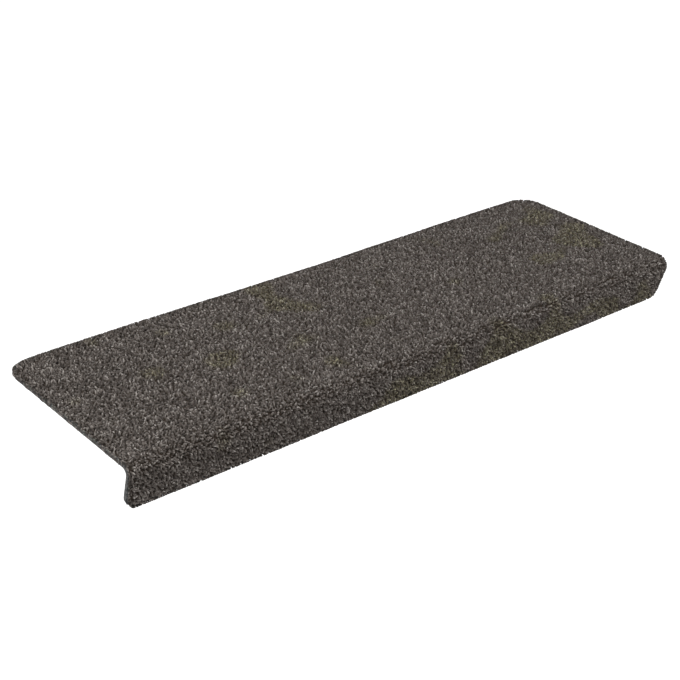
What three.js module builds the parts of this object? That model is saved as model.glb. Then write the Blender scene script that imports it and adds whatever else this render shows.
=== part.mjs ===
// Stair tread mat: a dense curled pile on an anti slip backing, with a nose formed over the edge of a step.
// The mat is drawn as a flat rounded blank, and the blank is bent: flat tread, nose bend, flap that leans back.
// Frame in millimetres: +X along the step, +Y towards the riser, +Z up, and the origin at the middle of the
// flat underside of the tread.

import * as THREE from 'three';

const { degToRad, seededRandom, smoothstep } = THREE.MathUtils;

// Driving dimensions
const matLength = 650;
const treadDepth = 199;
const noseInnerRadius = 5;
const noseBend = degToRad(105);
const flapHeight = 36;
const backingThickness = 2.5;
const pileHeight = 3.5;
const rearCornerRadius = 23;
const flapCornerRadius = 12;

// The pile spills a little over the cut edge of the backing and rounds off towards its top
const pileOverhang = 0.3;
const pileEdgeRound = 2.4;
const bulgeShare = 0.4;
const shoulderShare = 0.8;

// Clumps of curled tufts, as an uneven top
const clumpSpacing = 8;
const clumpRelief = 1.8;
const clumpScatter = 0.35;
const clumpSeed = 7;

// Creases where the tuft rows part on the bend, as shares of the bend, and the stretch that they cover
const creaseShares = [0.29, 0.68];
const creaseWidth = 3;
const creaseDepth = 1.8;
const creaseFrom = -60;
const creaseTo = 265;
const creaseFade = 40;
const creaseWander = 1.2;
const creaseWave = 290;

// Facets
const cornerSteps = 5;
const flatColumns = 4;

// The blank, measured along its inner face from the rear edge
const noseOuterRadius = noseInnerRadius + backingThickness + pileHeight;
const bendStart = treadDepth;
const bendEnd = bendStart + noseInnerRadius * noseBend;
const blankDepth = bendEnd + flapHeight;
const columnsPerFlat = Math.max(2, Math.round(matLength / clumpSpacing / flatColumns));
const columns = flatColumns * columnsPerFlat;

// A point of the bent mat: along the step, down the blank, and up from the inner face
function bent(along, down, height) {
  const turn = THREE.MathUtils.clamp((down - bendStart) / noseInnerRadius, 0, noseBend);
  const flat = Math.min(down, bendStart);
  const flap = Math.max(down - bendEnd, 0);
  const reach = noseInnerRadius + height;
  return new THREE.Vector3(
    along,
    treadDepth / 2 - flat - reach * Math.sin(turn) - flap * Math.cos(turn),
    -noseInnerRadius + reach * Math.cos(turn) - flap * Math.sin(turn),
  );
}

// Rows of the blank. Each gives its distance down the blank and its half width, for an outline drawn in by inset.
function straightRow(distance, crease = false) {
  return { crease, outline: (inset) => ({ distance, half: matLength / 2 - inset }) };
}

function cornerRow(radius, turn, place) {
  const outline = (inset) => {
    const drawn = radius - inset;
    return {
      distance: place(inset + drawn * (1 - Math.cos(turn))),
      half: matLength / 2 - radius + drawn * Math.sin(turn),
    };
  };
  return { crease: false, outline };
}

function rowsBetween(start, end, spacing) {
  const count = Math.max(1, Math.round((end - start) / spacing));
  return Array.from({ length: count - 1 }, (_, k) => straightRow(start + ((end - start) * (k + 1)) / count));
}

function cornerTurns() {
  return Array.from({ length: cornerSteps + 1 }, (_, k) => (k / cornerSteps) * (Math.PI / 2));
}

// Each crease has its bottom row between two shoulders, and a plain row keeps the bend round on either side
function bendRows() {
  const rows = [straightRow(bendStart)];
  const shoulderTurn = creaseWidth / 2 / noseOuterRadius;
  let last = 0;
  for (const share of creaseShares) {
    const crease = share * noseBend;
    rows.push(straightRow(bendStart + (noseInnerRadius * (last + crease - shoulderTurn)) / 2));
    rows.push(straightRow(bendStart + noseInnerRadius * (crease - shoulderTurn)));
    rows.push(straightRow(bendStart + noseInnerRadius * crease, true));
    rows.push(straightRow(bendStart + noseInnerRadius * (crease + shoulderTurn)));
    last = crease + shoulderTurn;
  }
  rows.push(straightRow(bendStart + (noseInnerRadius * (last + noseBend)) / 2));
  rows.push(straightRow(bendEnd));
  return rows;
}

const rows = [
  ...cornerTurns().map((turn) => cornerRow(rearCornerRadius, turn, (inward) => inward)),
  ...rowsBetween(rearCornerRadius, bendStart, clumpSpacing),
  ...bendRows(),
  ...rowsBetween(bendEnd, blankDepth - flapCornerRadius, clumpSpacing),
  ...cornerTurns().reverse().map((turn) => cornerRow(flapCornerRadius, turn, (inward) => blankDepth - inward)),
];
const lastRow = rows.length - 1;

// Place on a ring of edge points, which runs left to right along the rear edge, down the right end, back along
// the flap's edge and up the left end
function ringPlace(column, row) {
  if (row === 0) return column;
  if (column === columns) return columns + row;
  if (row === lastRow) return columns + lastRow + (columns - column);
  return 2 * columns + lastRow + (lastRow - row);
}

// Grows a closed solid from rings of edge points and the sheets that close them
class Solid {
  points = [];
  faces = [];

  point(along, down, height) {
    this.points.push(bent(along, down, height));
    return this.points.length - 1;
  }

  rowPoint(column, row, inset, height) {
    const { distance, half } = rows[row].outline(inset);
    return this.point(((2 * column) / columns - 1) * half, distance, height);
  }

  ring(inset, height) {
    const ring = [];
    for (let column = 0; column <= columns; column++) {
      ring[ringPlace(column, 0)] = this.rowPoint(column, 0, inset, height);
      ring[ringPlace(column, lastRow)] = this.rowPoint(column, lastRow, inset, height);
    }
    for (let row = 1; row < lastRow; row++) {
      ring[ringPlace(0, row)] = this.rowPoint(0, row, inset, height);
      ring[ringPlace(columns, row)] = this.rowPoint(columns, row, inset, height);
    }
    return ring;
  }

  wall(lower, upper) {
    lower.forEach((corner, k) => {
      const next = (k + 1) % lower.length;
      this.faces.push([corner, upper[k], upper[next]], [corner, upper[next], lower[next]]);
    });
  }

  // A smooth sheet inside a ring, with few columns; facing is 1 for the outer side and -1 for the inner side
  smoothSheet(ring, inset, height, facing) {
    const turned = (a, b, c) => this.faces.push(facing > 0 ? [a, b, c] : [a, c, b]);
    const line = (row) =>
      Array.from({ length: flatColumns + 1 }, (_, k) => {
        const onEdge = k === 0 || k === flatColumns;
        const column = k * columnsPerFlat;
        return onEdge ? ring[ringPlace(column, row)] : this.rowPoint(column, row, inset, height);
      });
    const edgeLine = (row) => Array.from({ length: columns + 1 }, (_, column) => ring[ringPlace(column, row)]);
    const rear = edgeLine(0);
    const front = edgeLine(lastRow);
    let above = line(1);
    for (let k = 0; k < flatColumns; k++) {
      const middle = Math.floor((k + 0.5) * columnsPerFlat);
      for (let c = k * columnsPerFlat; c < (k + 1) * columnsPerFlat; c++) {
        turned(above[c < middle ? k : k + 1], rear[c + 1], rear[c]);
      }
      turned(above[k], above[k + 1], rear[middle]);
    }
    for (let row = 2; row < lastRow; row++) {
      const below = line(row);
      for (let k = 0; k < flatColumns; k++) {
        turned(above[k], below[k], below[k + 1]);
        turned(above[k], below[k + 1], above[k + 1]);
      }
      above = below;
    }
    for (let k = 0; k < flatColumns; k++) {
      const middle = Math.floor((k + 0.5) * columnsPerFlat);
      for (let c = k * columnsPerFlat; c < (k + 1) * columnsPerFlat; c++) {
        turned(above[c < middle ? k : k + 1], front[c], front[c + 1]);
      }
      turned(above[k + 1], above[k], front[middle]);
    }
  }

  // The uneven top of the pile inside its edge ring
  clumpedSheet(ring, inset) {
    const top = backingThickness + pileHeight;
    seededRandom(clumpSeed);
    const line = (row) =>
      Array.from({ length: columns + 1 }, (_, column) => {
        const onEdge = row === 0 || row === lastRow || column === 0 || column === columns;
        if (onEdge) return ring[ringPlace(column, row)];
        const { distance, half } = rows[row].outline(inset);
        const stagger = row % 2 === 0 ? 0.25 : -0.25;
        const scatter = clumpScatter * (seededRandom() - 0.5);
        const along = ((2 * (column + stagger + scatter)) / columns - 1) * half;
        const lump = clumpRelief * (seededRandom() - 0.5);
        const opened = rows[row].crease ? creaseDepth * creaseStrength(along) : 0;
        return this.point(along, distance + creaseSway(along, distance), top + lump - opened);
      });
    let above = line(0);
    for (let row = 1; row <= lastRow; row++) {
      const below = line(row);
      for (let c = 0; c < columns; c++) {
        if (row % 2 === 0) {
          this.faces.push([above[c], below[c], above[c + 1]], [above[c + 1], below[c], below[c + 1]]);
        } else {
          this.faces.push([above[c], below[c], below[c + 1]], [above[c], below[c + 1], above[c + 1]]);
        }
      }
      above = below;
    }
  }

  geometry() {
    const geometry = new THREE.BufferGeometry();
    geometry.setAttribute('position', new THREE.Float32BufferAttribute(this.points.flatMap((p) => p.toArray()), 3));
    geometry.setIndex(this.faces.flat());
    geometry.computeVertexNormals();
    return geometry;
  }
}

// How far a crease is open at a place along the step
function creaseStrength(along) {
  const start = smoothstep(along, creaseFrom, creaseFrom + creaseFade);
  const end = 1 - smoothstep(along, creaseTo - creaseFade, creaseTo);
  return start * end;
}

// The creases wander a little down and up the bend, and not at its two ends
function creaseSway(along, distance) {
  const share = THREE.MathUtils.clamp((distance - bendStart) / (bendEnd - bendStart), 0, 1);
  const room = noseInnerRadius / noseOuterRadius;
  return creaseWander * room * Math.sin((2 * Math.PI * along) / creaseWave) * Math.sin(Math.PI * share);
}

function backing() {
  const solid = new Solid();
  const inner = solid.ring(pileOverhang, 0);
  const outer = solid.ring(pileOverhang, backingThickness);
  solid.smoothSheet(inner, pileOverhang, 0, -1);
  solid.wall(inner, outer);
  solid.smoothSheet(outer, pileOverhang, backingThickness, 1);
  return solid.geometry();
}

function pile() {
  const solid = new Solid();
  const root = solid.ring(pileOverhang, backingThickness);
  const bulge = solid.ring(0, backingThickness + bulgeShare * pileHeight);
  const shoulder = solid.ring(pileEdgeRound / 3, backingThickness + shoulderShare * pileHeight);
  const crown = solid.ring(pileEdgeRound, backingThickness + pileHeight);
  solid.smoothSheet(root, pileOverhang, backingThickness, -1);
  solid.wall(root, bulge);
  solid.wall(bulge, shoulder);
  solid.wall(shoulder, crown);
  solid.clumpedSheet(crown, pileEdgeRound);
  return solid.geometry();
}

const pileMaterial = new THREE.MeshStandardMaterial({ color: '#524d49', roughness: 0.96, metalness: 0 });
const backingMaterial = new THREE.MeshStandardMaterial({ color: '#55585b', roughness: 0.8, metalness: 0 });

function named(name, geometry, material) {
  const mesh = new THREE.Mesh(geometry, material);
  mesh.name = name;
  return mesh;
}

const mat = new THREE.Group();
mat.name = 'stair_tread_mat';
mat.add(named('carpet_pile', pile(), pileMaterial));
mat.add(named('anti_slip_backing', backing(), backingMaterial));

export default mat;
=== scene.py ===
# Stair tread mat in plain studio light: curled tufts on a ground cloth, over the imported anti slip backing.
# Lengths are metres. "along" runs with the step (+X), "down" runs over the blank from the rear edge to the
# flap's edge, and "height" stands up from the inner face.

import math

import bpy
import numpy as np
from mathutils import Matrix, Vector, noise


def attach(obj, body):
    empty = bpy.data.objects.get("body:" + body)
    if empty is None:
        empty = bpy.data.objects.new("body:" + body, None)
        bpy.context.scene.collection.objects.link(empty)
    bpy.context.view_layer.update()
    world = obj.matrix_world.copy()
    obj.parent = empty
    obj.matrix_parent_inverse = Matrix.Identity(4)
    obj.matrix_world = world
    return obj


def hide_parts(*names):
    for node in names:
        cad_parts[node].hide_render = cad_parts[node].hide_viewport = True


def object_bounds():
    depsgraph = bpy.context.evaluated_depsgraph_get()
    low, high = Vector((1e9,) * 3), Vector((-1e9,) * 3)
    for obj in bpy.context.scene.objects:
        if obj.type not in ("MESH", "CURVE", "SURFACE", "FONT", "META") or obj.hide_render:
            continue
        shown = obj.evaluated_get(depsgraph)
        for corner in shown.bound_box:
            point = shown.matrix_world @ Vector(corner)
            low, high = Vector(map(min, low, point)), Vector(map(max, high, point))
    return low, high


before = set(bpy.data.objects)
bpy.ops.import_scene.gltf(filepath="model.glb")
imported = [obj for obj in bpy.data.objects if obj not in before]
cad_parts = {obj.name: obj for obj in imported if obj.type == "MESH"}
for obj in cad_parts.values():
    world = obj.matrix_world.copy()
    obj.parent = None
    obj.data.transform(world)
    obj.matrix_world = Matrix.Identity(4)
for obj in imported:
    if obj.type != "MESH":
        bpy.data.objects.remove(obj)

CAD_LOW, CAD_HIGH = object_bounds()
MM = 0.001

# Least length that anything is divided by
TINY = 1e-9

# The mat's form, as the frame has it
MAT_LENGTH = CAD_HIGH.x - CAD_LOW.x
TREAD_DEPTH = 2 * CAD_HIGH.y
NOSE_INNER_RADIUS = 5 * MM
NOSE_BEND = math.radians(105)
FLAP_HEIGHT = 36 * MM
BACKING_THICKNESS = 2.5 * MM
PILE_HEIGHT = 3.5 * MM
REAR_CORNER_RADIUS = 23 * MM
FLAP_CORNER_RADIUS = 12 * MM
BEND_START = TREAD_DEPTH
BEND_END = BEND_START + NOSE_INNER_RADIUS * NOSE_BEND
BLANK_DEPTH = BEND_END + FLAP_HEIGHT

# Gain that brings mathutils noise to about -1 to 1
NOISE_GAIN = 2.2

# Ground cloth that the tufts are set in, rooted at a share of its thickness
GROUND_THICKNESS = 0.9 * MM
GROUND_LIFT = 0.02 * MM
GROUND_INSET = 0.1 * MM
GROUND_STEP = 5 * MM
GROUND_BEND_ROWS = 12
GROUND_RIPPLE = 0.25 * MM
GROUND_RIPPLE_SIZE = 3 * MM
GROUND_RIPPLE_SEED = 4.1
ROOT_SHARE = 0.7
ROOT_HEIGHT = BACKING_THICKNESS + ROOT_SHARE * GROUND_THICKNESS

# Tufts
TUFT_PITCH = 1.85 * MM
TUFT_JITTER = 0.42
TUFT_LENGTH = (3.5 * MM, 4.4 * MM)
TUFT_RADIUS = (0.64 * MM, 0.9 * MM)
TUFT_START_LEAN = (0.0, 0.4)
TUFT_END_LEAN = (0.7, 2.1)
TUFT_LEAN_POWER = 1.2
TUFT_TURN = 1.4
TUFT_SIDES = 3
TUFT_FIRST_SIDE = math.pi / 4
TUFT_RINGS = (0.0, 0.5, 0.9)
TUFT_GIRTHS = (0.75, 1.0, 0.8)
TUFT_STEPS = 10
TUFT_SEED = 11
TUFT_BANDS = 5
MAP_MARGIN = 0.1
CLUMP_SIZE = 9 * MM
CLUMP_SEED = 1.7
CLUMP_LIFT = 0.35 * MM

# The rows of tufts are evenly spaced at this share of the pile's height, and start this far inside the rim
LAID_SHARE = 0.8
FIELD_START = 0.4 * TUFT_PITCH

# Rim of the pile: a close row of tufts that stand up, and one that curls down over the cut edge. Both are
# mottled along the edge, both have gaps at the left end, and in places the coating has run over them.
# Painted shade darkens the pile close to its outline: over a wider zone along the rear edge and the right
# end, and only a little at the left end.
RIM_PITCH = 0.85 * MM
RIM_JITTER = 0.3
RIM_GAPS_AT_LEFT = 0.42
RIM_INSET = 0.9 * MM
RIM_WIDTH = 1.3 * MM
RIM_LENGTH = (3.2 * MM, 5.2 * MM)
RIM_LENGTH_SIZE = 9 * MM
RIM_LENGTH_SEED = 3.9
RIM_LENGTH_CONTRAST = 0.8
RIM_START_LEAN = 1.1
RIM_END_LEAN = 3.1
RIM_LEAN_POWER = 0.6
RIM_TURN_LOSS = 0.7
RIM_SPREAD = 0.1
RIM_MOTTLE_SIZE = 3.4 * MM
RIM_MOTTLE = 3.0
RIM_TONE = 0.52
RIM_TONE_MOST = 0.93
RIM_SHADE = 0.6
RIM_SHADE_AT_LEFT = 0.1
RIM_SHADE_WIDTH = 2.8 * MM
RIM_SHADE_WIDER = 2.2 * MM
RIM_SHADE_FULL = 0.6
RIM_COATED_SIZE = 6 * MM
RIM_COATED_SEED = 7.7
RIM_COATED_RANGE = (0.4, 0.7)
EDGE_LEAN = 0.4
EDGE_ZONE = 3.0 * MM
EDGE_SPREAD = 0.9
EDGE_SPREAD_LOSS = 1.1
EDGE_REACH = 0.3 * MM
CURL_REACH = 0.2 * MM
EDGE_SWAY = 0.3 * MM
EDGE_SWAY_SIZE = 60 * MM
EDGE_SWAY_SEED = 9.3

# The pile spreads out more at the rear left corner. The weight brings its course round the corner to 1 at
# its greatest.
REAR_LEFT_REACH = 1.6 * MM
REAR_LEFT_WEIGHT = 27 / 4

# The pile is rounded off towards its edge: greatest height of the tufts over their roots at the edge, at the
# end of the rounding, and its rise per length from there on
EDGE_ROUND = 2.6 * MM
EDGE_HEIGHT = 1.1 * MM
INNER_HEIGHT = 3.1 * MM
INNER_RISE = 0.4

# Along the rear edge the pile's height waves gently: its rise at the peaks, the place of a peak, the wave's
# length, the depths from the edge between which it fades in, and the length over which it fades in from the
# ends
REAR_WAVE = 0.85 * MM
REAR_WAVE_PEAK = -235 * MM
REAR_WAVE_LENGTH = 475 * MM
REAR_WAVE_ZONE = (16 * MM, 4 * MM)
REAR_WAVE_FADE = 60 * MM

# At the ends of the nose the pile stays back from the cut edge, and more so at the flap's lower corners
NOSE_END_ZONE = 12 * MM
NOSE_RAMP = (BEND_START - 1 * MM, BEND_START + 3 * MM)
BACK_ON_NOSE = 0.8 * MM
BACK_AT_CORNER = 1.2 * MM
COATED_WIDTH = 2.4 * MM

# Short creases where the tufts part on the bend: place along the step, and turn of the bend. Each runs a
# little askew, wanders and breaks, and is fully open up to a share of its length either side of its middle.
CREASES = (
    (-44 * MM, math.radians(20)),
    (-33 * MM, math.radians(68)),
    (14 * MM, math.radians(17)),
    (41 * MM, math.radians(74)),
    (76 * MM, math.radians(25)),
    (88 * MM, math.radians(52)),
    (130 * MM, math.radians(30)),
    (162 * MM, math.radians(40)),
    (188 * MM, math.radians(56)),
    (236 * MM, math.radians(34)),
    (250 * MM, math.radians(78)),
)
CREASE_LENGTH = 34 * MM
CREASE_FULL = 0.3
CREASE_RISE = 0.05
CREASE_WANDER = 0.4 * MM
CREASE_WANDER_SIZE = 6 * MM
CREASE_WANDER_SEED = 6.4
CREASE_BREAK_SIZE = 5 * MM
CREASE_BREAK_SEED = 8.8
CREASE_BREAK_RANGE = (-0.9, -0.3)
CREASE_GAP = 2.0 * MM
CREASE_UNEVEN = (0.5, 1.0)
CREASE_PARTING_RATE = 3
CREASE_BARE = 0.5 * MM

# Olive tint, in soft patches: common low on the right part of the flap, and at a few places of the tread.
# Each place is given by its middle along and down, its half length and its half depth, and fades in between
# two shares of these. The tint differs from tuft to tuft.
OLIVE_SIZE = 34 * MM
OLIVE_SEED = 72.7
OLIVE_RANGE = (0.75, 1.35)
OLIVE_ON_FLAP = 1.3
OLIVE_ON_TREAD = 1.2
OLIVE_FLAP_RAMP = 14 * MM
OLIVE_FLAP_LEFT = (-90 * MM, -40 * MM)
OLIVE_FLAP_RIGHT = (330 * MM, 290 * MM)
OLIVE_PLACE_FADE = (1.0, 0.4)
OLIVE_UNEVEN = (0.3, 1.0)
OLIVE_PLACES = (
    (288 * MM, 78 * MM, 46 * MM, 80 * MM),
    (235 * MM, 128 * MM, 34 * MM, 20 * MM),
    (-42 * MM, 45 * MM, 34 * MM, 70 * MM),
    (-172 * MM, 110 * MM, 42 * MM, 22 * MM),
)

# Colours in 0 to 255 sRGB steps, at places from 0 to 1
YARN_TONES = (
    (0.0, (74, 66, 60)),
    (0.3, (100, 92, 86)),
    (0.65, (120, 112, 106)),
    (0.9, (150, 142, 136)),
    (1.0, (190, 183, 177)),
)
CLOTH_TONES = (
    (0.3, (56, 48, 41)),
    (0.7, (72, 63, 55)),
)
GRIP_TONES = (
    (0.38, (58, 59, 60)),
    (0.62, (114, 114, 113)),
)

# Tints that the colours are multiplied by, painted shade that darkens each tuft towards its root, and how the
# coating fades in over the cloth towards the cut edge
OLIVE_TINT = (1.0, 1.02, 0.72)
COATED_TINT = (0.84, 0.98, 0.94)
ROOT_PAINTED_SHADE = (
    (0.0, (0.42, 0.38, 0.34)),
    (0.7, (1, 1, 1)),
)
FIBRE_TINTS = (
    (0.3, (0.86, 0.86, 0.86)),
    (0.7, (1.1, 1.1, 1.1)),
)
COATED_CLOTH = (
    (0.4, (0, 0, 0)),
    (0.6, (1, 1, 1)),
)

# Sizes of the features within the colours, and depth of the backing's grain
FIBRE_SIZE = 0.5 * MM
CLOTH_SIZE = 1.2 * MM
GRIP_SIZE = 2.2 * MM
GRAIN_SIZE = 0.9 * MM
GRAIN_DEPTH = 0.3 * MM

# Camera, fitted to the outline of the mat in the photograph
IMAGE_WIDTH = 680
FOCAL_PIXELS = 1456.3
SENSOR_WIDTH = 36.0
CAMERA_YAW = math.radians(39.06)
CAMERA_PITCH = math.radians(27.93)
CAMERA_ROLL = math.radians(0.72)
CAMERA_AIM = Vector((-59.5 * MM, -45.2 * MM, 6 * MM))
CAMERA_DISTANCE = 1.3391

# Stage: a floor well below the mat, and two softboxes given by place, size and power
FLOOR_DROP = 0.32
FLOOR_SIZE = 14.0
FLOOR_GREY = 0.86
FLOOR_GLOW = 0.6
SKY_STRENGTH = 0.512
OVERHEAD_SOFTBOX = ((-0.9, -0.3, 1.4), (1.6, 1.2), 16.6)
FRONT_SOFTBOX = ((0.75, -0.9, 0.1), (0.6, 0.6), 2.3)


def bent(along, down, height):
    """Points of the bent mat for arrays of places on the blank."""
    turn = np.clip((down - BEND_START) / NOSE_INNER_RADIUS, 0, NOSE_BEND)
    flat = np.minimum(down, BEND_START)
    flap = np.maximum(down - BEND_END, 0)
    reach = NOSE_INNER_RADIUS + height
    y = TREAD_DEPTH / 2 - flat - reach * np.sin(turn) - flap * np.cos(turn)
    z = -NOSE_INNER_RADIUS + reach * np.cos(turn) - flap * np.sin(turn)
    return np.stack([along + 0 * y, y, z], axis=-1)


def axes_at(down):
    """Directions at each place: along the step, down the blank, and out of the pile."""
    turn = np.clip((down - BEND_START) / NOSE_INNER_RADIUS, 0, NOSE_BEND)
    zero = 0 * turn
    along = np.stack([zero + 1, zero, zero], axis=-1)
    downward = np.stack([zero, -np.cos(turn), -np.sin(turn)], axis=-1)
    outward = np.stack([zero, -np.sin(turn), np.cos(turn)], axis=-1)
    return along, downward, outward


def inside_edge(along, down):
    """Distance inside the blank's outline, and the direction on the blank that leads out of it."""
    radius = np.where(down < BLANK_DEPTH / 2, REAR_CORNER_RADIUS, FLAP_CORNER_RADIUS)
    middle = BLANK_DEPTH / 2
    x = np.abs(along) - (MAT_LENGTH / 2 - radius)
    s = np.abs(down - middle) - (middle - radius)
    corner = (x > 0) & (s > 0)
    far = np.maximum(np.hypot(x, s), TINY)
    nearer_end = x > s
    reach = np.where(corner, far, np.maximum(x, s))
    out_x = np.where(corner, x / far, nearer_end * 1.0) * np.sign(along)
    out_s = np.where(corner, s / far, 1.0 - nearer_end) * np.sign(down - middle)
    return radius - reach, out_x, out_s


def smooth_field(along, down, size, seed):
    """Smooth values of about -1 to 1 that change over the given size, with one seed or one for each place."""
    return np.array([
        NOISE_GAIN * noise.noise(Vector((a / size, d / size, s)))
        for a, d, s in zip(along, down, np.broadcast_to(seed, len(along)))
    ])


def smoothstep(value, low, high):
    share = np.clip((value - low) / (high - low), 0, 1)
    return share * share * (3 - 2 * share)


def crease_off(along, down):
    """Signed distance over the top of the bend to the nearest crease, and how open the crease is there."""
    off = np.full(len(along), BLANK_DEPTH)
    open_share = np.zeros(len(along))
    outer_radius = NOSE_INNER_RADIUS + BACKING_THICKNESS + PILE_HEIGHT
    turn = (down - BEND_START) / NOSE_INNER_RADIUS
    wander = CREASE_WANDER * smooth_field(along, 0 * down, CREASE_WANDER_SIZE, CREASE_WANDER_SEED)
    breaks = smooth_field(along, 0 * down, CREASE_BREAK_SIZE, CREASE_BREAK_SEED)
    unbroken = smoothstep(breaks, *CREASE_BREAK_RANGE)
    for place, bend in CREASES:
        distance = (turn - bend) * outer_radius + CREASE_RISE * (along - place) + wander
        aside = np.abs(along - place)
        share = unbroken * smoothstep(aside, CREASE_LENGTH / 2, CREASE_FULL * CREASE_LENGTH)
        nearer = (share > 0) & (np.abs(distance) < np.abs(off))
        off = np.where(nearer, distance, off)
        open_share = np.where(nearer, share, open_share)
    return off, open_share


def mesh_object(name, points, faces, material):
    """A smooth shaded mesh from numpy points and a list of arrays of faces with equally many corners."""
    mesh = bpy.data.meshes.new(name)
    corners = np.concatenate([f.ravel() for f in faces]).astype(np.int32)
    totals = np.concatenate([np.full(len(f), f.shape[1]) for f in faces]).astype(np.int32)
    starts = np.concatenate([[0], np.cumsum(totals)[:-1]]).astype(np.int32)
    mesh.vertices.add(len(points))
    mesh.vertices.foreach_set("co", points.astype(np.float32).ravel())
    mesh.loops.add(len(corners))
    mesh.loops.foreach_set("vertex_index", corners)
    mesh.polygons.add(len(totals))
    mesh.polygons.foreach_set("loop_start", starts)
    mesh.update(calc_edges=True)
    mesh.shade_smooth()
    mesh.materials.append(material)
    piece = bpy.data.objects.new(name, mesh)
    bpy.context.scene.collection.objects.link(piece)
    return piece


def add_values(piece, name, values):
    attribute = piece.data.attributes.new(name, "FLOAT", "POINT")
    attribute.data.foreach_set("value", values.astype(np.float32))


def edge_loop(inset, corner_points=16, count=4000):
    """Outline of the blank, drawn in by inset, as closely spaced places along and down."""
    along, down = [], []
    half, middle = MAT_LENGTH / 2, BLANK_DEPTH / 2
    corners = (
        (-1, -1, REAR_CORNER_RADIUS, math.pi),
        (1, -1, REAR_CORNER_RADIUS, 1.5 * math.pi),
        (1, 1, FLAP_CORNER_RADIUS, 0),
        (-1, 1, FLAP_CORNER_RADIUS, 0.5 * math.pi),
    )
    for side, end, radius, begin in corners:
        angle = begin + np.linspace(0, math.pi / 2, corner_points)
        along.append(side * (half - radius) + (radius - inset) * np.cos(angle))
        down.append(middle + end * (middle - radius) + (radius - inset) * np.sin(angle))
    along, down = np.concatenate(along), np.concatenate(down)
    along, down = np.append(along, along[0]), np.append(down, down[0])
    walked = np.concatenate([[0], np.cumsum(np.hypot(np.diff(along), np.diff(down)))])
    steps = np.linspace(0, walked[-1], count)
    return np.interp(steps, walked, along), np.interp(steps, walked, down)


def pile_edge(along, down):
    """Distance inside the edge of the pile, and the direction on the blank that leads out of it."""
    inside, out_x, out_s = inside_edge(along, down)
    to_end = MAT_LENGTH / 2 - np.abs(along)
    at_end = smoothstep(to_end, NOSE_END_ZONE, NOSE_END_ZONE / 2)
    on_nose = smoothstep(down, *NOSE_RAMP)
    at_corner = smoothstep(down, BEND_END, BLANK_DEPTH - FLAP_CORNER_RADIUS)
    back = at_end * out_x ** 2 * (BACK_ON_NOSE * on_nose + BACK_AT_CORNER * at_corner)
    return inside - back, out_x, out_s


def rim_roots(random):
    """Roots in a row round the pile, evenly spaced over the bent mat."""
    along, down = edge_loop(RIM_INSET)
    inside, out_x, out_s = pile_edge(along, down)
    along = along + (inside - RIM_INSET) * out_x
    down = down + (inside - RIM_INSET) * out_s
    points = bent(along, down, ROOT_HEIGHT)
    walked = np.concatenate([[0], np.cumsum(np.linalg.norm(np.diff(points, axis=0), axis=1))])
    count = int(walked[-1] / RIM_PITCH)
    steps = (np.arange(count) + random.uniform(-RIM_JITTER, RIM_JITTER, count)) * walked[-1] / count
    along, down = np.interp(steps, walked, along), np.interp(steps, walked, down)
    to_left = np.maximum(-pile_edge(along, down)[1], 0)
    kept = random.uniform(0, 1, count) > RIM_GAPS_AT_LEFT * to_left ** 4
    return along[kept], down[kept]


def field_roots(random):
    """Roots in jittered rows over the whole outer face, inside the rim's rows."""
    laid_radius = NOSE_INNER_RADIUS + BACKING_THICKNESS + LAID_SHARE * PILE_HEIGHT
    laid_bend = laid_radius * NOSE_BEND
    laid_depth = BEND_START + laid_bend + FLAP_HEIGHT
    rows = round(laid_depth / TUFT_PITCH)
    columns = round(MAT_LENGTH / TUFT_PITCH)
    column, row = np.meshgrid(np.arange(columns), np.arange(rows))
    column, row = column.ravel(), row.ravel()
    jitter = random.uniform(-TUFT_JITTER, TUFT_JITTER, (2, len(row)))
    along = (column + 0.25 + 0.5 * (row % 2) + jitter[0]) / columns * MAT_LENGTH - MAT_LENGTH / 2
    laid = (row + 0.5 + jitter[1]) / rows * laid_depth
    in_bend = np.clip(laid - BEND_START, 0, laid_bend)
    down = laid - in_bend + in_bend * NOSE_INNER_RADIUS / laid_radius
    kept = pile_edge(along, down)[0] > RIM_INSET + FIELD_START
    off, open_share = crease_off(along, down)
    kept &= np.abs(off) > CREASE_BARE * open_share
    return along[kept], down[kept]


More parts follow.
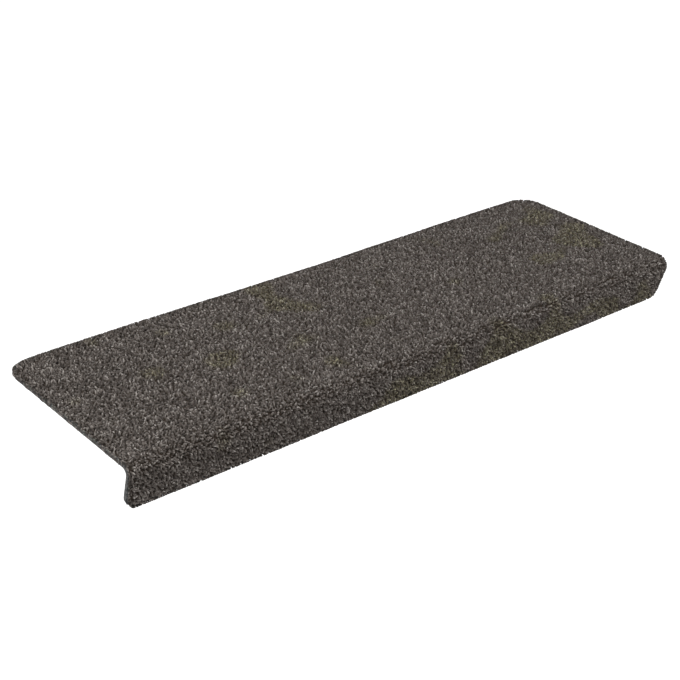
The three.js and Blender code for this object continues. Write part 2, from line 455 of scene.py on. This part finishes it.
def tuft_lines(along, down, curled, random):
    """Centre lines of the tufts, with their directions and sides, and how far inside the edge they are."""
    count = len(along)
    inside, out_x, out_s = pile_edge(along, down)
    at_edge = np.clip(1 - inside / EDGE_ZONE, 0, 1)

    uneven = smooth_field(along, down, RIM_LENGTH_SIZE, RIM_LENGTH_SEED)
    longer = np.clip(0.5 + RIM_LENGTH_CONTRAST * uneven, 0, 1)
    rim_length = RIM_LENGTH[0] + (RIM_LENGTH[1] - RIM_LENGTH[0]) * longer
    length = np.where(curled, rim_length, random.uniform(*TUFT_LENGTH, count))
    start = random.uniform(*TUFT_START_LEAN, count) + EDGE_LEAN * at_edge
    start = np.where(curled, RIM_START_LEAN, start)
    end = np.where(curled, RIM_END_LEAN, random.uniform(*TUFT_END_LEAN, count))
    turn = random.uniform(-TUFT_TURN, TUFT_TURN, count) * (1 - RIM_TURN_LOSS * curled)
    facing = random.uniform(-math.pi, math.pi, count)
    spread = np.where(curled, RIM_SPREAD, EDGE_SPREAD - EDGE_SPREAD_LOSS * at_edge)
    facing = np.where(at_edge > 0, np.arctan2(out_s, out_x) + spread * facing, facing)

    share = (np.arange(TUFT_STEPS + 1) / TUFT_STEPS)[None, :]
    power = np.where(curled, RIM_LEAN_POWER, TUFT_LEAN_POWER)
    lean = start[:, None] + (end - start)[:, None] * share ** power[:, None]
    heading = facing[:, None] + turn[:, None] * share
    direction = np.stack([
        np.sin(lean) * np.cos(heading),
        np.sin(lean) * np.sin(heading),
        np.cos(lean),
    ], axis=-1)
    side = np.stack([-np.sin(heading), np.cos(heading), 0 * heading], axis=-1)
    middle = (direction[:, 1:] + direction[:, :-1]) / 2
    steps = middle * (length / TUFT_STEPS)[:, None, None]
    path = np.concatenate([np.zeros((count, 1, 3)), np.cumsum(steps, axis=1)], axis=1)
    clump = CLUMP_LIFT * smooth_field(along, down, CLUMP_SIZE, CLUMP_SEED)
    wave = REAR_WAVE * np.cos(2 * math.pi * (along - REAR_WAVE_PEAK) / REAR_WAVE_LENGTH)
    wave *= smoothstep(down, *REAR_WAVE_ZONE) * (1 - curled)
    wave *= smoothstep(MAT_LENGTH / 2 - np.abs(along), 0, REAR_WAVE_FADE)
    path[..., 2] += (clump * (1 - curled) + wave)[:, None] * share

    # Tufts that would reach too far past the edge lean out less
    outward = path[..., 0] * out_x[:, None] + path[..., 1] * out_s[:, None]
    sway = EDGE_SWAY * smooth_field(along, down, EDGE_SWAY_SIZE, EDGE_SWAY_SEED)
    reach = np.where(curled, CURL_REACH, EDGE_REACH) + sway
    reach += REAR_LEFT_REACH * REAR_LEFT_WEIGHT * np.maximum(-out_x, 0) ** 4 * np.maximum(-out_s, 0) ** 2
    spare = np.minimum(1, (inside + reach) / np.maximum(outward.max(axis=1), TINY)) - 1
    path[..., 0] += outward * (spare * out_x)[:, None]
    path[..., 1] += outward * (spare * out_s)[:, None]

    # Near the edge no tuft stands higher than the rounded off pile
    left = (inside + reach)[:, None] - outward * (1 + spare)[:, None]
    roundness = np.sqrt(1 - (1 - np.clip(left / EDGE_ROUND, 0, 1)) ** 2)
    highest = EDGE_HEIGHT + (INNER_HEIGHT - EDGE_HEIGHT) * roundness
    highest += INNER_RISE * np.maximum(left - EDGE_ROUND, 0) + wave[:, None]
    path[..., 2] = np.minimum(path[..., 2], highest)

    # No tuft reaches across a crease
    off, open_share = crease_off(along, down)
    to_side = np.sign(off)[:, None]
    gap = CREASE_GAP * open_share * random.uniform(*CREASE_UNEVEN, count)
    least = (gap - np.abs(off))[:, None] * np.minimum(1, CREASE_PARTING_RATE * share)
    parted = to_side * np.maximum(to_side * path[..., 1], least)
    path[..., 1] = np.where((open_share > 0)[:, None], parted, path[..., 1])
    return path, direction, side, left


def at_rings(values):
    """Values at the steps of each tuft, taken at its rings and its tip."""
    spots = np.array((*TUFT_RINGS, 1.0)) * TUFT_STEPS
    low = np.floor(spots).astype(int)
    high = np.minimum(low + 1, TUFT_STEPS)
    mix = (spots - low).reshape(1, -1, *[1] * (values.ndim - 2))
    return values[:, low] * (1 - mix) + values[:, high] * mix


def tuft_tones_and_shade(along, down, spine, left, random):
    """Tones from 0, dark, to 1, pale, at the rings and the tip of each tuft, with painted shade close to the
    pile's outline.
    """
    inside, out_x, out_s = pile_edge(along, down)
    on_rim = inside < RIM_WIDTH
    tone = np.tile(random.uniform(0, 1, (len(along), 1)), left.shape[1])
    place = spine[on_rim] + np.stack([along, down, 0 * along], axis=-1)[on_rim, None]
    x, s, height = place.reshape(-1, 3).T
    mottle = smooth_field(x, s, RIM_MOTTLE_SIZE, height / RIM_MOTTLE_SIZE)
    tone[on_rim] = np.clip(RIM_TONE + RIM_MOTTLE * mottle, 0, RIM_TONE_MOST).reshape(-1, left.shape[1])

    # Painted shade close to the pile's outline: wider along the rear edge and the right end, slight at the
    # left end
    width = (RIM_SHADE_WIDTH + RIM_SHADE_WIDER * np.clip(out_x - out_s, 0, 1))[:, None]
    strength = RIM_SHADE + (RIM_SHADE_AT_LEFT - RIM_SHADE) * np.maximum(-out_x, 0)
    return tone * (1 - strength[:, None] * smoothstep(left, width, RIM_SHADE_FULL * width))


def olive_share(along, down):
    """How olive the yarn is at each place: more on the flap and at the chosen places of the tread."""
    between = smoothstep(along, *OLIVE_FLAP_LEFT) * smoothstep(along, *OLIVE_FLAP_RIGHT)
    lift = OLIVE_ON_FLAP * smoothstep(down, BEND_START, BEND_END + OLIVE_FLAP_RAMP) * between
    for x, s, half_length, half_depth in OLIVE_PLACES:
        away = np.hypot((along - x) / half_length, (down - s) / half_depth)
        lift = np.maximum(lift, OLIVE_ON_TREAD * smoothstep(away, *OLIVE_PLACE_FADE))
    patches = smooth_field(along, down, OLIVE_SIZE, OLIVE_SEED)
    return smoothstep(patches + lift, *OLIVE_RANGE)


def tuft_faces():
    """Quads and tip triangles of one tuft, with each corner as its place round the tuft and its ring."""
    last = len(TUFT_RINGS) - 1
    quads = [
        [(side, ring), (side + 1, ring), (side + 1, ring + 1), (side, ring + 1)]
        for ring in range(last)
        for side in range(TUFT_SIDES)
    ]
    tips = [[(side, last), (side + 1, last), (side + 0.5, last + 1)] for side in range(TUFT_SIDES)]
    return np.array(quads), np.array(tips)


def tuft_index(corners):
    """Numbers of the points of one tuft for corners of its faces."""
    tip = TUFT_SIDES * len(TUFT_RINGS)
    number = corners[..., 1] * TUFT_SIDES + corners[..., 0] % TUFT_SIDES
    return np.where(corners[..., 1] == len(TUFT_RINGS), tip, number).astype(int)


def tuft_map(corners, count):
    """Places on a square map for the faces of all the tufts, with a cell of the map for each tuft."""
    cells = math.ceil(math.sqrt(count))
    rings = np.array((*TUFT_RINGS, 1.0))
    place = np.stack([corners[..., 0] / TUFT_SIDES, rings[corners[..., 1].astype(int)]], axis=-1)
    cell = np.stack([np.arange(count) % cells, np.arange(count) // cells], axis=-1)
    return (cell.reshape(count, 1, 1, 2) + MAP_MARGIN + (1 - 2 * MAP_MARGIN) * place[None]) / cells


def tuft_band(name, along, down, curled, random, material):
    """One piece that holds all the tufts with these roots."""
    count = len(along)
    path, direction, side, left = tuft_lines(along, down, curled, random)
    radius = random.uniform(*TUFT_RADIUS, count)
    spine, left = at_rings(path), at_rings(left)
    u, v = at_rings(side)[:, :-1, None], at_rings(np.cross(direction, side))[:, :-1, None]
    angle = np.arange(TUFT_SIDES) / TUFT_SIDES * 2 * math.pi + TUFT_FIRST_SIDE
    girth = radius[:, None] * np.array(TUFT_GIRTHS)[None, :]
    ring = (
        spine[:, :-1, None]
        + girth[:, :, None, None] * np.cos(angle)[None, None, :, None] * u
        + girth[:, :, None, None] * np.sin(angle)[None, None, :, None] * v
    )
    local = np.concatenate([ring.reshape(count, -1, 3), spine[:, -1:]], axis=1)
    per_tuft = local.shape[1]
    root = bent(along, down, ROOT_HEIGHT + 0 * down)
    axes = np.stack(axes_at(down), axis=1)
    points = root[:, None, :] + np.einsum("npk,nkj->npj", local, axes)

    quads, tips = tuft_faces()
    first = (np.arange(count) * per_tuft)[:, None, None]
    faces = [(tuft_index(corners)[None] + first).reshape(-1, corners.shape[1]) for corners in (quads, tips)]
    piece = mesh_object(name, points.reshape(-1, 3), faces, material)
    places = np.concatenate([tuft_map(corners, count).ravel() for corners in (quads, tips)])
    piece.data.uv_layers.new(name="OFBake").data.foreach_set("uv", places.astype(np.float32))

    rise = np.concatenate([np.repeat(TUFT_RINGS, TUFT_SIDES), [1.0]])
    add_values(piece, "rise", np.tile(rise, count))
    # The yarn's own tone, multiplied by painted shade close to the pile's outline
    tone = tuft_tones_and_shade(along, down, spine, left, random)
    tone = np.concatenate([np.repeat(tone[:, :-1], TUFT_SIDES, axis=1), tone[:, -1:]], axis=1)
    add_values(piece, "tone", tone.ravel())
    on_rim = pile_edge(along, down)[0] < RIM_WIDTH
    run_over = smooth_field(along, down, RIM_COATED_SIZE, RIM_COATED_SEED)
    coated = on_rim * smoothstep(run_over, *RIM_COATED_RANGE)
    add_values(piece, "coated", np.repeat(coated, per_tuft))
    olive = olive_share(along, down) * random.uniform(*OLIVE_UNEVEN, count)
    add_values(piece, "olive", np.repeat(olive, per_tuft))
    return piece


def nodes_of(name):
    material = bpy.data.materials.new(name)
    material.use_nodes = True
    tree = material.node_tree
    shader = tree.nodes["Principled BSDF"]
    return material, tree, shader


def ramp(tree, factor, stops):
    node = tree.nodes.new("ShaderNodeValToRGB")
    elements = node.color_ramp.elements
    while len(elements) < len(stops):
        elements.new(0.5)
    for element, (place, colour) in zip(elements, stops):
        element.position = place
        element.color = (*colour, 1)
    tree.links.new(factor, node.inputs["Fac"])
    return node.outputs["Color"]


def linear(colour):
    """A colour in 0 to 255 sRGB steps as linear values."""
    return tuple(
        (c / 255 / 12.92) if c <= 10 else ((c / 255 + 0.055) / 1.055) ** 2.4
        for c in colour
    )


def tones(tree, factor, stops):
    """A ramp between colours in sRGB steps."""
    return ramp(tree, factor, [(place, linear(colour)) for place, colour in stops])


def mixed(tree, kind, factor, first, second):
    node = tree.nodes.new("ShaderNodeMix")
    node.data_type = "RGBA"
    node.blend_type = kind
    for socket, value in ((node.inputs[0], factor), (node.inputs[6], first), (node.inputs[7], second)):
        if isinstance(value, bpy.types.NodeSocket):
            tree.links.new(value, socket)
        elif isinstance(value, tuple):
            socket.default_value = (*value, 1)
        else:
            socket.default_value = value
    return node.outputs[2]


def attribute(tree, name):
    node = tree.nodes.new("ShaderNodeAttribute")
    node.attribute_name = name
    return node.outputs["Fac"]


def noise_value(tree, size, detail=2.0):
    """Smooth noise over the piece's own places, with features of about the given size."""
    place = tree.nodes.new("ShaderNodeNewGeometry")
    node = tree.nodes.new("ShaderNodeTexNoise")
    node.inputs["Scale"].default_value = 1 / size
    node.inputs["Detail"].default_value = detail
    tree.links.new(place.outputs["Position"], node.inputs["Vector"])
    return node.outputs["Fac"]


def yarn_material():
    material, tree, shader = nodes_of("pile_yarn")
    # The tone attribute holds the yarn's own tone together with painted shade close to the pile's outline
    tone = tones(tree, attribute(tree, "tone"), YARN_TONES)
    olive = mixed(tree, "MULTIPLY", 1.0, tone, OLIVE_TINT)
    tinted = mixed(tree, "MIX", attribute(tree, "olive"), tone, olive)
    coated = mixed(tree, "MULTIPLY", 1.0, tinted, COATED_TINT)
    tinted = mixed(tree, "MIX", attribute(tree, "coated"), tinted, coated)
    # Painted shade: each tuft darkens towards its root, down between the tufts
    depth = ramp(tree, attribute(tree, "rise"), ROOT_PAINTED_SHADE)
    colour = mixed(tree, "MULTIPLY", 1.0, tinted, depth)
    fibre = ramp(tree, noise_value(tree, FIBRE_SIZE, detail=1.0), FIBRE_TINTS)
    colour = mixed(tree, "MULTIPLY", 1.0, colour, fibre)
    tree.links.new(colour, shader.inputs["Base Color"])
    shader.inputs["Roughness"].default_value = 0.9
    shader.inputs["Specular IOR Level"].default_value = 0.2
    shader.inputs["Sheen Weight"].default_value = 0.12
    return material


def grip_colour(tree):
    """Mottled grey of the backing, which has run over the cut edge of the cloth too."""
    return tones(tree, noise_value(tree, GRIP_SIZE), GRIP_TONES)


def ground_material():
    material, tree, shader = nodes_of("ground_cloth")
    cloth = tones(tree, noise_value(tree, CLOTH_SIZE), CLOTH_TONES)
    coated = ramp(tree, attribute(tree, "coated"), COATED_CLOTH)
    colour = mixed(tree, "MIX", coated, cloth, grip_colour(tree))
    tree.links.new(colour, shader.inputs["Base Color"])
    shader.inputs["Roughness"].default_value = 0.95
    shader.inputs["Specular IOR Level"].default_value = 0.15
    return material


def backing_material():
    material, tree, shader = nodes_of("grip_backing")
    tree.links.new(grip_colour(tree), shader.inputs["Base Color"])
    shader.inputs["Roughness"].default_value = 0.8
    bump = tree.nodes.new("ShaderNodeBump")
    bump.inputs["Strength"].default_value = 0.4
    bump.inputs["Distance"].default_value = GRAIN_DEPTH
    tree.links.new(noise_value(tree, GRAIN_SIZE), bump.inputs["Height"])
    tree.links.new(bump.outputs["Normal"], shader.inputs["Normal"])
    return material


def ground_cloth(material, edge_material):
    """The ground cloth as one closed sheet, with a slightly rippled top and a coated cut edge."""
    columns = int(MAT_LENGTH / GROUND_STEP)
    flat_rows = np.linspace(0, BEND_START, int(BEND_START / GROUND_STEP))
    bend_rows = np.linspace(BEND_START, BEND_END, GROUND_BEND_ROWS)[1:]
    flap_rows = np.linspace(BEND_END, BLANK_DEPTH, int(FLAP_HEIGHT / GROUND_STEP))[1:]
    rows = np.concatenate([flat_rows, bend_rows, flap_rows])
    inset = GROUND_INSET
    down = inset + rows / BLANK_DEPTH * (BLANK_DEPTH - 2 * inset)
    half = np.full(len(down), MAT_LENGTH / 2 - inset)
    for near, radius in ((down, REAR_CORNER_RADIUS), (BLANK_DEPTH - down, FLAP_CORNER_RADIUS)):
        drawn = radius - inset
        into = np.clip(radius - near, 0, drawn)
        half -= drawn - np.sqrt(drawn ** 2 - into ** 2)
    share = np.linspace(-1, 1, columns + 1)
    along = half[:, None] * share[None, :]
    down = np.repeat(down[:, None], columns + 1, axis=1)
    ripple = smooth_field(along.ravel(), down.ravel(), GROUND_RIPPLE_SIZE, GROUND_RIPPLE_SEED)
    ripple = ripple.reshape(along.shape)
    edge = np.zeros(along.shape, bool)
    edge[[0, -1]] = True
    edge[:, [0, -1]] = True
    top = BACKING_THICKNESS + GROUND_THICKNESS + np.where(edge, 0, GROUND_RIPPLE * ripple)
    upper = bent(along, down, top).reshape(-1, 3)
    lower = bent(along, down, BACKING_THICKNESS + GROUND_LIFT + 0 * top).reshape(-1, 3)
    index = np.arange(along.size).reshape(along.shape)
    a, b, c, d = index[:-1, :-1], index[1:, :-1], index[1:, 1:], index[:-1, 1:]
    upper_faces = np.stack([a, b, c, d], axis=-1).reshape(-1, 4)
    lower_faces = upper_faces[:, ::-1] + along.size
    loop = np.concatenate([index[0, :-1], index[:-1, -1], index[-1, :0:-1], index[:0:-1, 0]])
    after = np.roll(loop, -1)
    walls = np.stack([loop + along.size, loop, after, after + along.size], axis=-1)
    points = np.concatenate([upper, lower])
    piece = mesh_object("ground_cloth", points, [upper_faces, lower_faces, walls], material)
    piece.data.materials.append(edge_material)
    on_edge = np.arange(2 * len(upper_faces) + len(walls)) >= 2 * len(upper_faces)
    piece.data.polygons.foreach_set("material_index", on_edge.astype(np.int32))
    inside = inside_edge(along.ravel(), down.ravel())[0]
    add_values(piece, "coated", np.tile(np.clip(1 - inside / (2 * COATED_WIDTH), 0, 1), 2))
    return piece


def make_mat():
    random = np.random.default_rng(TUFT_SEED)
    yarn = yarn_material()
    grip = backing_material()
    ground = ground_cloth(ground_material(), grip)
    roots = [field_roots(random), rim_roots(random), rim_roots(random)]
    along, down = np.concatenate(roots, axis=1)
    curled = np.arange(len(along)) >= len(along) - len(roots[-1][0])
    bands = np.minimum(((along / MAT_LENGTH + 0.5) * TUFT_BANDS).astype(int), TUFT_BANDS - 1)
    tufts = []
    for band in range(TUFT_BANDS):
        here = bands == band
        tufts.append(tuft_band(f"pile_tufts_{band + 1}", along[here], down[here], curled[here], random, yarn))
    for piece in (ground, *tufts):
        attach(piece, "root")
        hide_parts("carpet_pile")
    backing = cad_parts["anti_slip_backing"]
    backing.data.materials.clear()
    backing.data.materials.append(grip)


def make_camera():
    forward = Vector((
        math.sin(CAMERA_YAW) * math.cos(CAMERA_PITCH),
        math.cos(CAMERA_YAW) * math.cos(CAMERA_PITCH),
        -math.sin(CAMERA_PITCH),
    ))
    right = forward.cross(Vector((0, 0, 1))).normalized()
    up = right.cross(forward)
    turned_right = right * math.cos(CAMERA_ROLL) + up * math.sin(CAMERA_ROLL)
    turned_up = up * math.cos(CAMERA_ROLL) - right * math.sin(CAMERA_ROLL)
    data = bpy.data.cameras.new("camera")
    data.sensor_width = SENSOR_WIDTH
    data.lens = FOCAL_PIXELS / IMAGE_WIDTH * SENSOR_WIDTH
    camera = bpy.data.objects.new("camera", data)
    bpy.context.scene.collection.objects.link(camera)
    turn = Matrix((turned_right, turned_up, -forward)).transposed().to_4x4()
    camera.matrix_world = Matrix.Translation(CAMERA_AIM - forward * CAMERA_DISTANCE) @ turn
    bpy.context.scene.camera = camera


def make_floor():
    material, tree, shader = nodes_of("pale_floor")
    shader.inputs["Base Color"].default_value = (FLOOR_GREY, FLOOR_GREY, FLOOR_GREY, 1)
    shader.inputs["Roughness"].default_value = 1.0
    shader.inputs["Specular IOR Level"].default_value = 0.0
    light_path = tree.nodes.new("ShaderNodeLightPath")
    glow = tree.nodes.new("ShaderNodeMath")
    glow.operation = "MULTIPLY"
    glow.inputs[1].default_value = FLOOR_GLOW
    tree.links.new(light_path.outputs["Is Camera Ray"], glow.inputs[0])
    shader.inputs["Emission Color"].default_value = (1, 1, 1, 1)
    tree.links.new(glow.outputs[0], shader.inputs["Emission Strength"])
    half = FLOOR_SIZE / 2
    level = CAD_LOW.z - FLOOR_DROP
    corners = np.array([
        (-half, -half, level),
        (half, -half, level),
        (half, half, level),
        (-half, half, level),
    ])
    floor = mesh_object("floor", corners, [np.array([[0, 1, 2, 3]])], material)


def make_light():
    world = bpy.data.worlds.new("studio")
    bpy.context.scene.world = world
    world.use_nodes = True
    tree = world.node_tree
    sky = tree.nodes["Background"]
    sky.inputs["Color"].default_value = (1, 1, 1, 1)
    light_path = tree.nodes.new("ShaderNodeLightPath")
    strength = tree.nodes.new("ShaderNodeMix")
    strength.inputs[2].default_value = SKY_STRENGTH
    strength.inputs[3].default_value = 1.0
    tree.links.new(light_path.outputs["Is Camera Ray"], strength.inputs[0])
    tree.links.new(strength.outputs[0], sky.inputs["Strength"])
    add_softbox("overhead_softbox", *OVERHEAD_SOFTBOX)
    add_softbox("front_softbox", *FRONT_SOFTBOX)


def add_softbox(name, place, size, power):
    light = bpy.data.lights.new(name, "AREA")
    light.shape = "RECTANGLE"
    light.size, light.size_y = size
    light.energy = power
    lamp = bpy.data.objects.new(name, light)
    bpy.context.scene.collection.objects.link(lamp)
    lamp.location = place
    lamp.rotation_euler = (-lamp.location).to_track_quat("-Z", "Y").to_euler()


make_camera()
make_mat()
make_floor()
make_light()
bpy.context.scene.view_settings.view_transform = "Standard"
